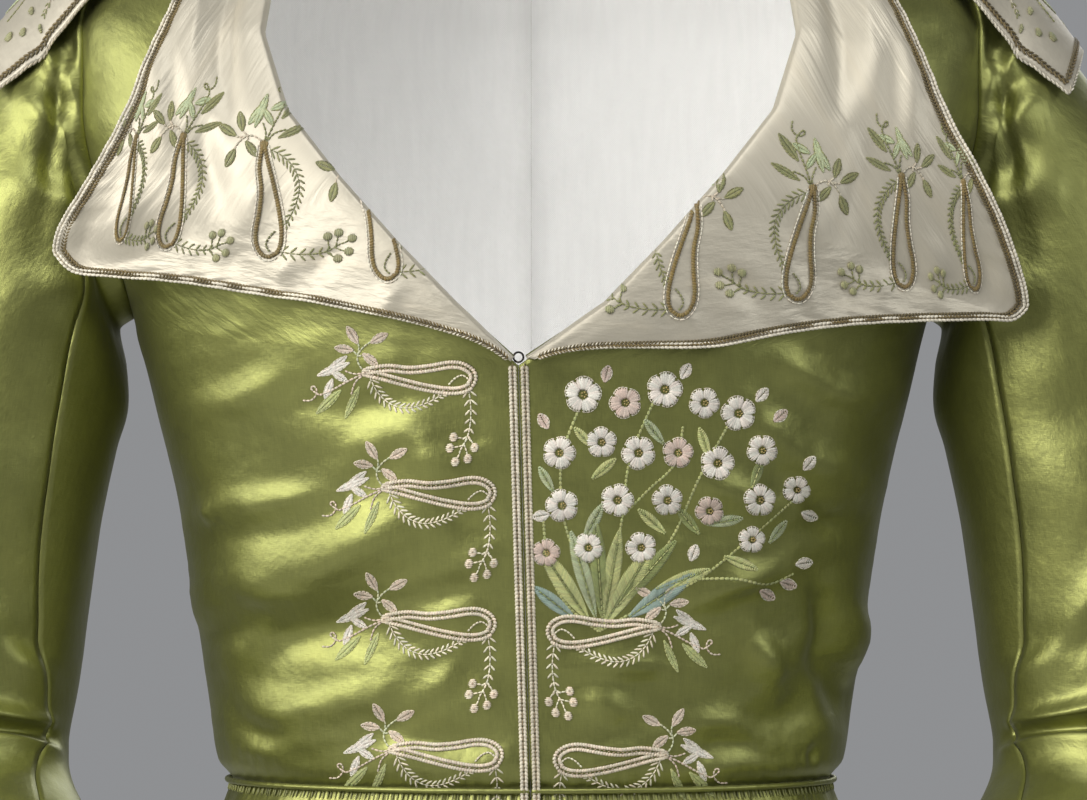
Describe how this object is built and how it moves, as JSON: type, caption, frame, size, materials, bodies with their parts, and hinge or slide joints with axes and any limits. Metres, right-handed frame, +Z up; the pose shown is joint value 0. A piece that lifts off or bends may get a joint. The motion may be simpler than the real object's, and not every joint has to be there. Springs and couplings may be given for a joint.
{
  "type": "redingote",
  "caption": "Woman's long fitted silk coat with wide ivory lapels, a shawl collar, shoulder flaps, bent two-piece sleeves and a full gored skirt, cord and floral embroidery on the fronts.",
  "frame": {"origin": "midway between the neck ends of the two shoulder seams, where the wearer's shoulders carry the coat", "axes": "+Z up, -Y the front of the coat, +X the wearer's left"},
  "size_m": [0.7577, 0.6292, 1.3999],
  "materials": {
    "green_satin": "green silk satin with a soft, streaky gloss; plain undyed backing inside",
    "ivory_satin": "ivory silk satin",
    "brown_braid": "matt olive-brown silk braid",
    "ivory_cord": "matt ivory silk cord",
    "blackened_wire": "blackened wire"
  },
  "bodies": {
    "root": {"front_left": "green_satin", "front_right": "green_satin", "back_left": "green_satin", "back_right": "green_satin", "sleeve_upper_left": "green_satin", "sleeve_upper_right": "green_satin", "sleeve_under_left": "green_satin", "sleeve_under_right": "green_satin", "collar_left": "ivory_satin", "collar_right": "ivory_satin", "epaulette_left": "ivory_satin", "epaulette_right": "ivory_satin", "skirt_front_left": "green_satin", "skirt_front_right": "green_satin", "skirt_side_left": "green_satin", "skirt_side_right": "green_satin", "skirt_back_left": "green_satin", "skirt_back_right": "green_satin", "waist_piping": "green_satin", "front_braid_left": "ivory_cord", "front_braid_right": "ivory_cord", "collar_braid_left": "brown_braid", "collar_braid_right": "brown_braid", "epaulette_braid_left": "brown_braid", "epaulette_braid_right": "brown_braid", "closure_eye": "blackened_wire"}
  },
  "joints": []
}
